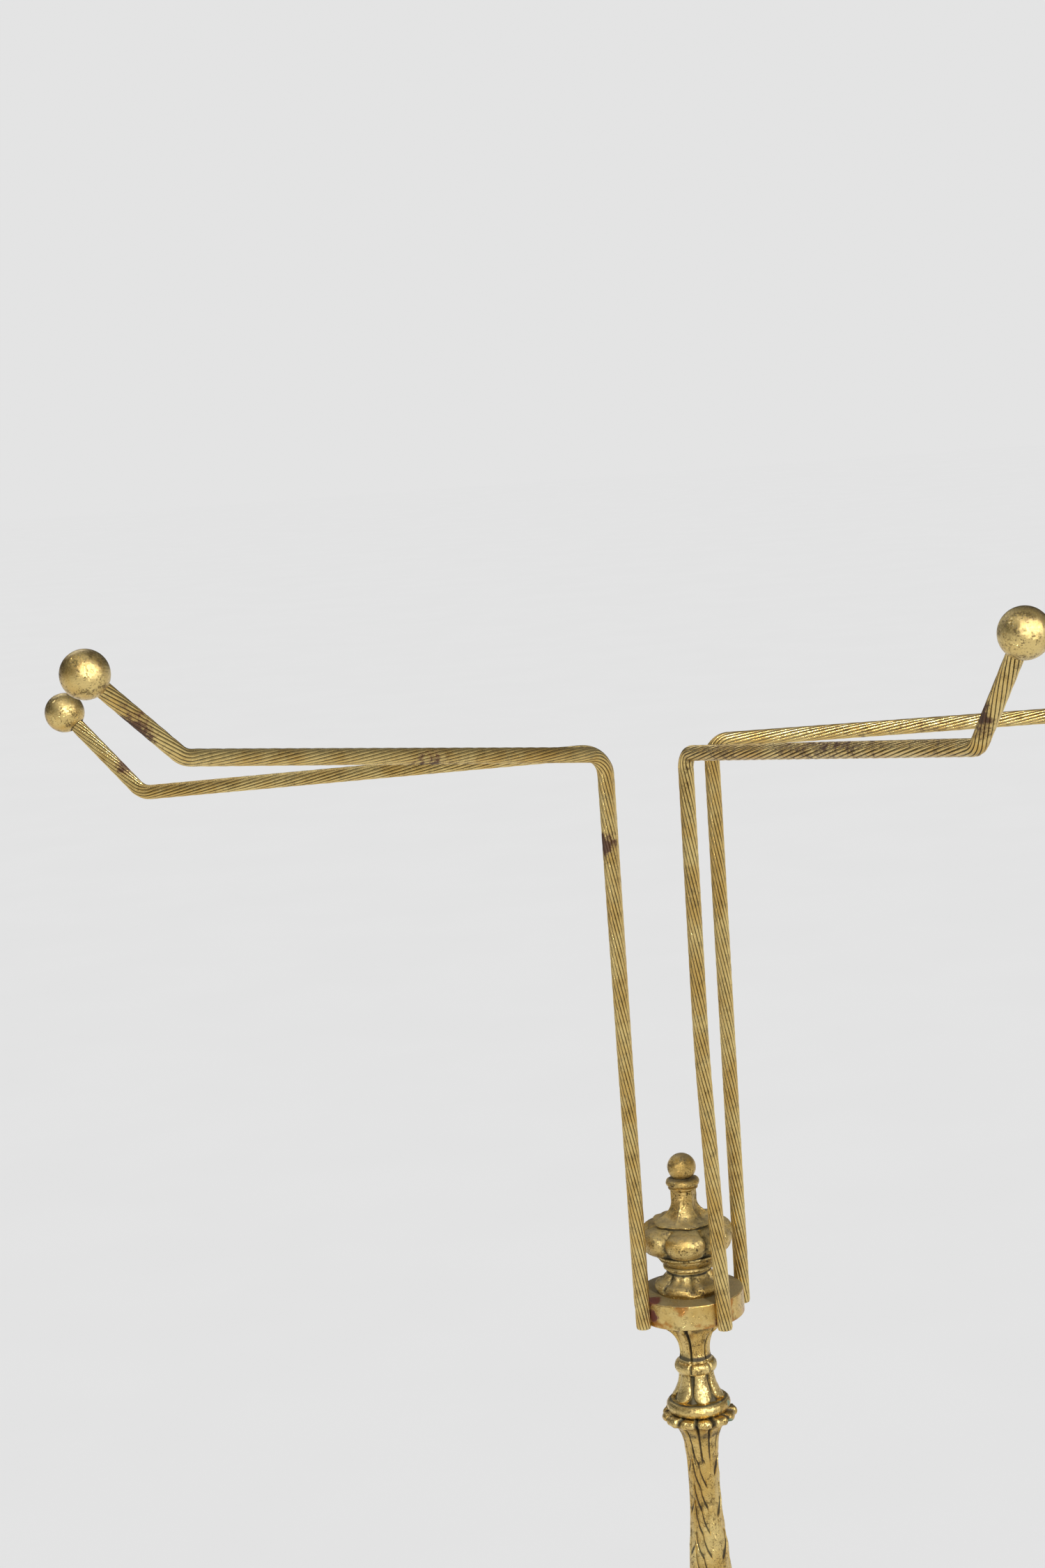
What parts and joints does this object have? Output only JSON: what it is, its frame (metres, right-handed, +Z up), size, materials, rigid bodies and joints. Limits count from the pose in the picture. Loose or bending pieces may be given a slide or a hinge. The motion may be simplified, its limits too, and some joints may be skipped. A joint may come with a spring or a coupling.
{
  "type": "music stand",
  "caption": "Antique gilt cast-brass music stand: scroll-leg tripod, leaf-cast stem and a swivelling head of rope-twist rods that end in balls.",
  "frame": {"origin": "on the floor, on the stem axis, which is the middle of the whole stand seen from above", "axes": "+Z up along the stem; the fan of four arms opens towards -Y; +X to the right as seen from the front"},
  "size_m": [0.6754, 0.572, 1.1816],
  "materials": {
    "cast_brass": "worn gilt casting with dark patina in the recesses",
    "turned_brass": "smooth worn gilt",
    "finial_brass": "worn gilt casting, dusty",
    "rope_rod_brass": "twisted rod, tarnished gilt",
    "ball_brass": "mottled polished gilt",
    "steel_hardware": "plain dull steel"
  },
  "bodies": {
    "stand": {"upper_stem": "cast_brass", "lower_stem": "cast_brass", "capital": "cast_brass", "neck_ring": "cast_brass", "upper_knop": "cast_brass", "lower_knop": "cast_brass", "base_dome": "cast_brass", "base_block": "cast_brass", "pendant": "cast_brass", "leg_1": "cast_brass", "leg_2": "cast_brass", "leg_3": "cast_brass", "bun_foot_1": "cast_brass", "bun_foot_2": "cast_brass", "bun_foot_3": "cast_brass", "tie_rod": "steel_hardware", "tie_nut": "steel_hardware", "tie_washer": "steel_hardware", "leg_screws": "steel_hardware"},
    "head": {"hub_disc": "turned_brass", "arm_rod_front_left": "rope_rod_brass", "arm_rod_back_left": "rope_rod_brass", "arm_rod_front_right": "rope_rod_brass", "arm_rod_back_right": "rope_rod_brass", "ball_tip_front_left": "ball_brass", "ball_tip_back_left": "ball_brass", "ball_tip_front_right": "ball_brass", "ball_tip_back_right": "ball_brass"},
    "finial": {"finial_foot": "finial_brass", "finial_bowl": "finial_brass", "finial_cap": "finial_brass"}
  },
  "joints": [
    {"name": "head_swivel", "type": "hinge", "parent": "stand", "child": "head", "pos_m": [0, 0, 0.79345], "axis": [0, 0, 1], "continuous": true},
    {"name": "finial_turn", "type": "hinge", "parent": "stand", "child": "finial", "pos_m": [0, 0, 0.83], "axis": [0, 0, 1], "continuous": true}
  ]
}
